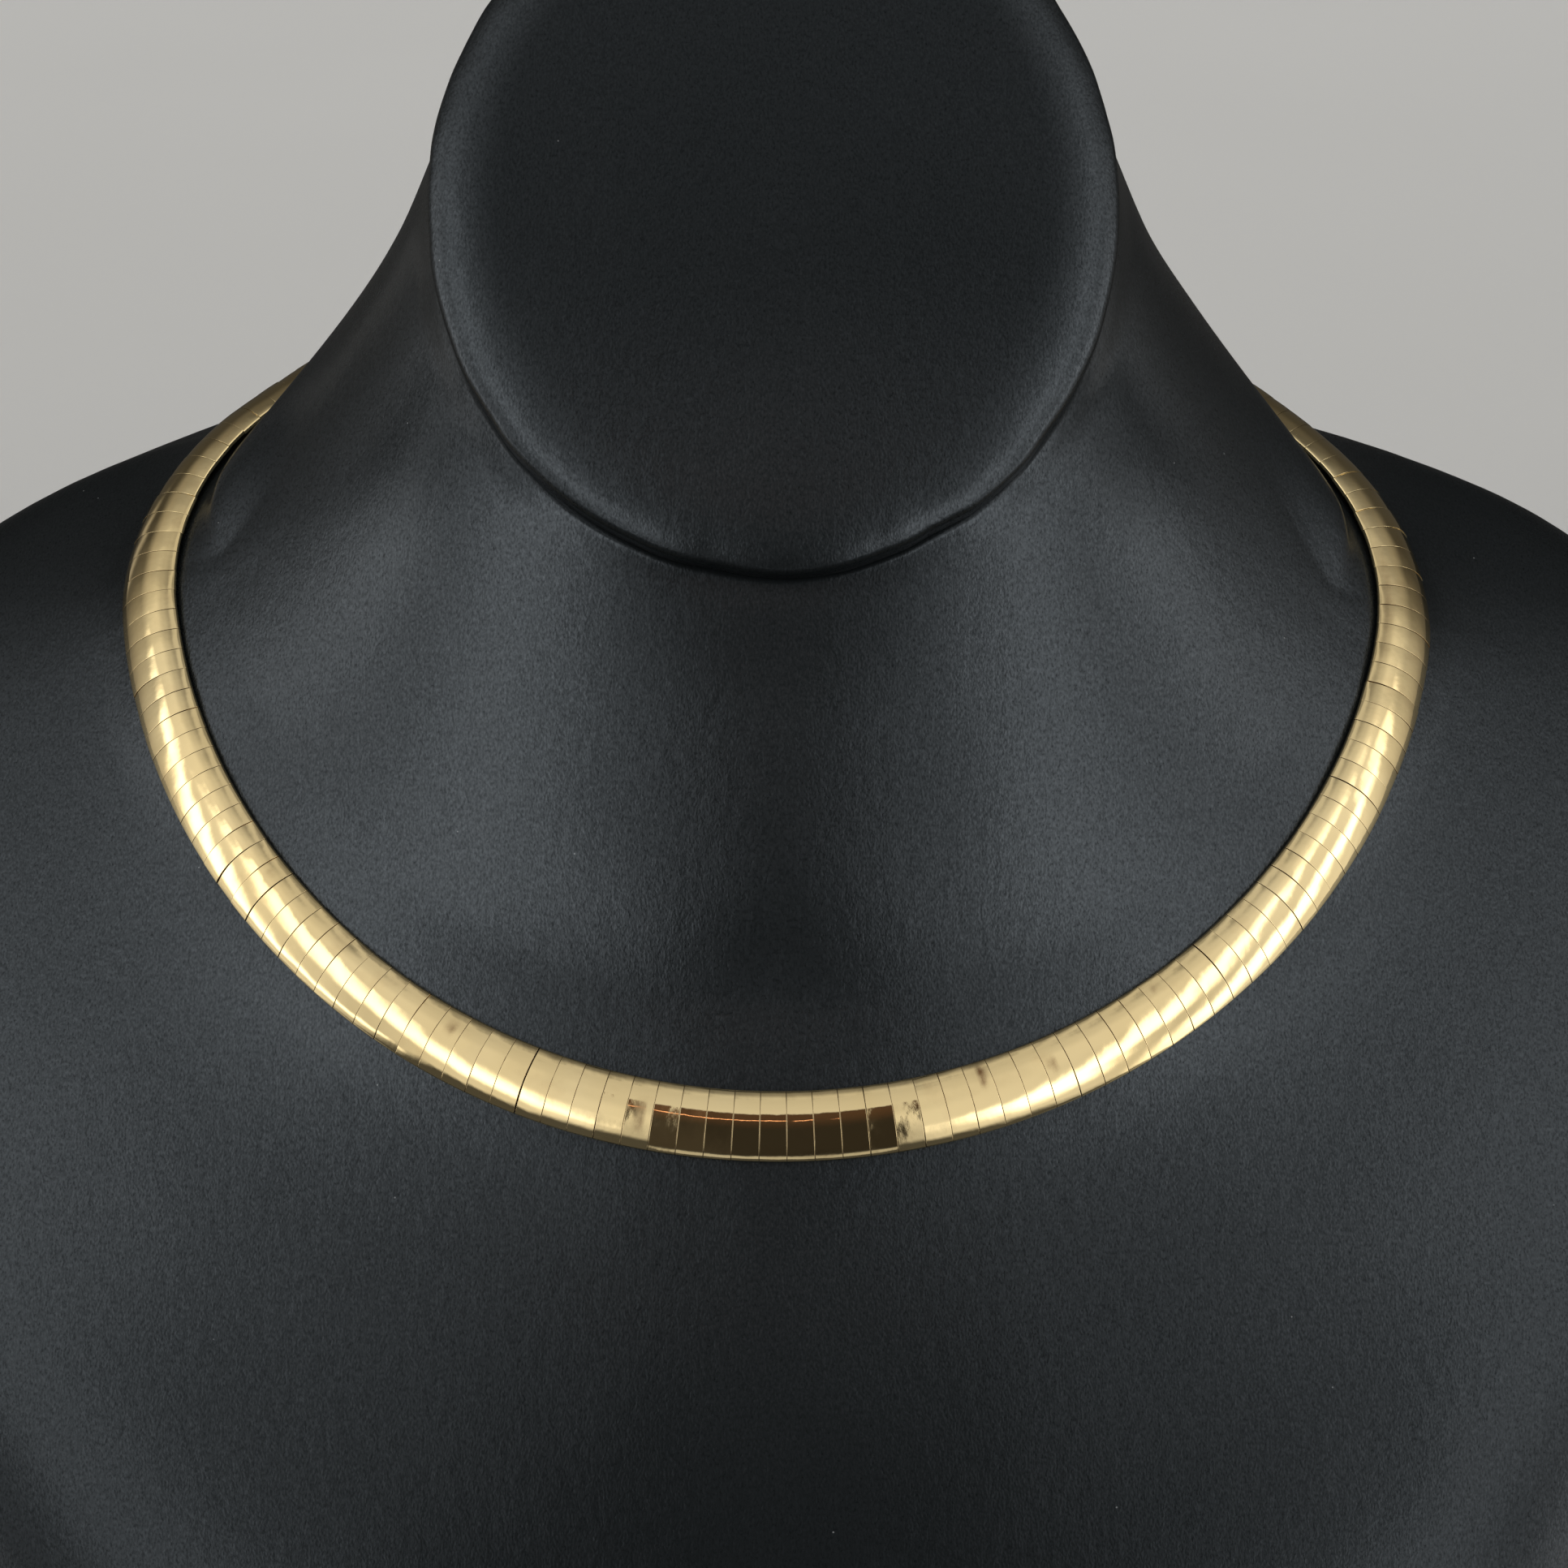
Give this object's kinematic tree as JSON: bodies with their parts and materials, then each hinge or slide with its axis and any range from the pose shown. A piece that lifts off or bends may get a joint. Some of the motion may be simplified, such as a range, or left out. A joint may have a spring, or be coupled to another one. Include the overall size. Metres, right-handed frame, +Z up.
{
  "type": "omega necklace on a neck bust",
  "caption": "Omega necklace of domed gold plates side by side on a woven strip, closed in a loop, lying on a plain black padded neck bust with an oval top panel.",
  "frame": {"origin": "centre of the outline on the floor plane, under the middle of the bust", "axes": "+Z up, -Y to the front where the wearer would face, +X to the right of the picture"},
  "size_m": [0.2482, 0.1502, 0.2031],
  "materials": {
    "gold": "polished yellow gold, domed plates with fine cross seams and a few tarnish spots",
    "woven_gold": "fine woven gold wire, satin",
    "leatherette": "black leatherette with a fine grain, satin"
  },
  "bodies": {
    "root": {"bust_body": "leatherette", "bust_top_panel": "leatherette", "mesh_core": "woven_gold", "plates_front": "gold", "plates_front_right": "gold", "plates_front_left": "gold", "plates_right": "gold", "plates_left": "gold", "plates_back_right": "gold", "plates_back_left": "gold", "plates_nape_right": "gold", "plates_nape_left": "gold", "clasp": "gold"}
  },
  "joints": []
}
